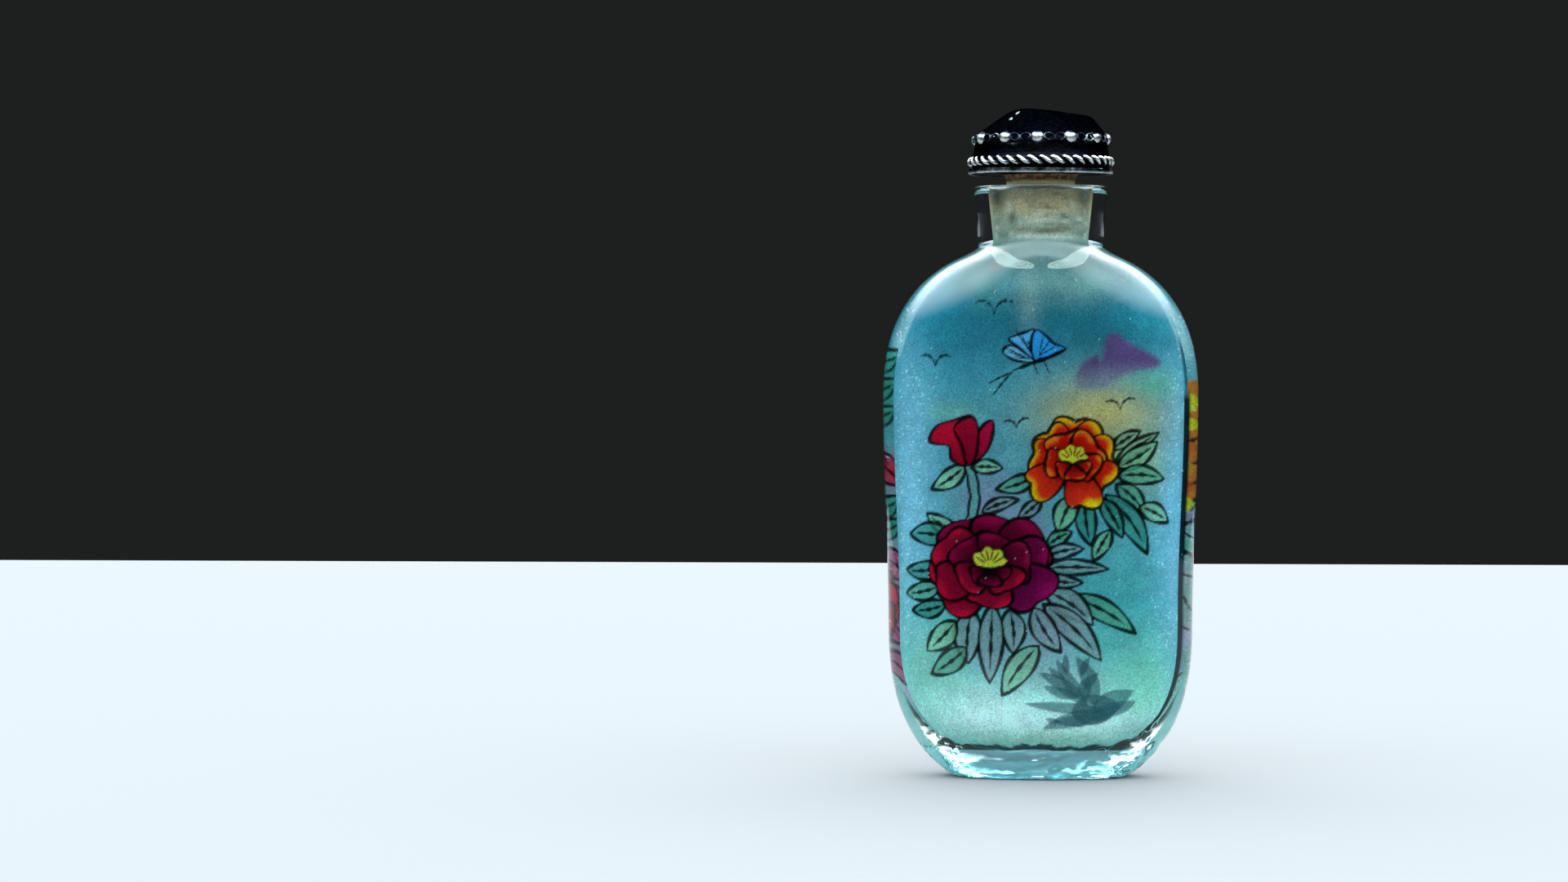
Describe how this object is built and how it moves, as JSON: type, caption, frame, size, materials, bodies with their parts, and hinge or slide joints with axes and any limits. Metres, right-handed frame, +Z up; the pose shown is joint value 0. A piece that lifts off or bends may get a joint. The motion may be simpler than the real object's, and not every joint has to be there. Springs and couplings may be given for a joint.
{
  "type": "snuff bottle",
  "caption": "Flattened hollow glass snuff bottle, painted on the inside, with a round neck and a cork stopper under a low domed metal cap.",
  "frame": {"origin": "on the ground under the middle of the foot", "axes": "+Z up along the neck, +X across the wide painted faces, +Y through the bottle's depth, the front face looking along -Y"},
  "size_m": [0.0378, 0.0186, 0.08],
  "materials": {
    "clear_glass": "polished outside, with a pale blue cast from the painting inside",
    "cork_bark": "cork, raw and stained",
    "polished_white_metal": "worn bright",
    "blackened_white_metal": "blackened casting with bright high spots"
  },
  "bodies": {
    "root": {"glass_bottle": "clear_glass", "cork": "cork_bark", "stopper_plate": "polished_white_metal", "stopper_cap": "blackened_white_metal"}
  },
  "joints": []
}
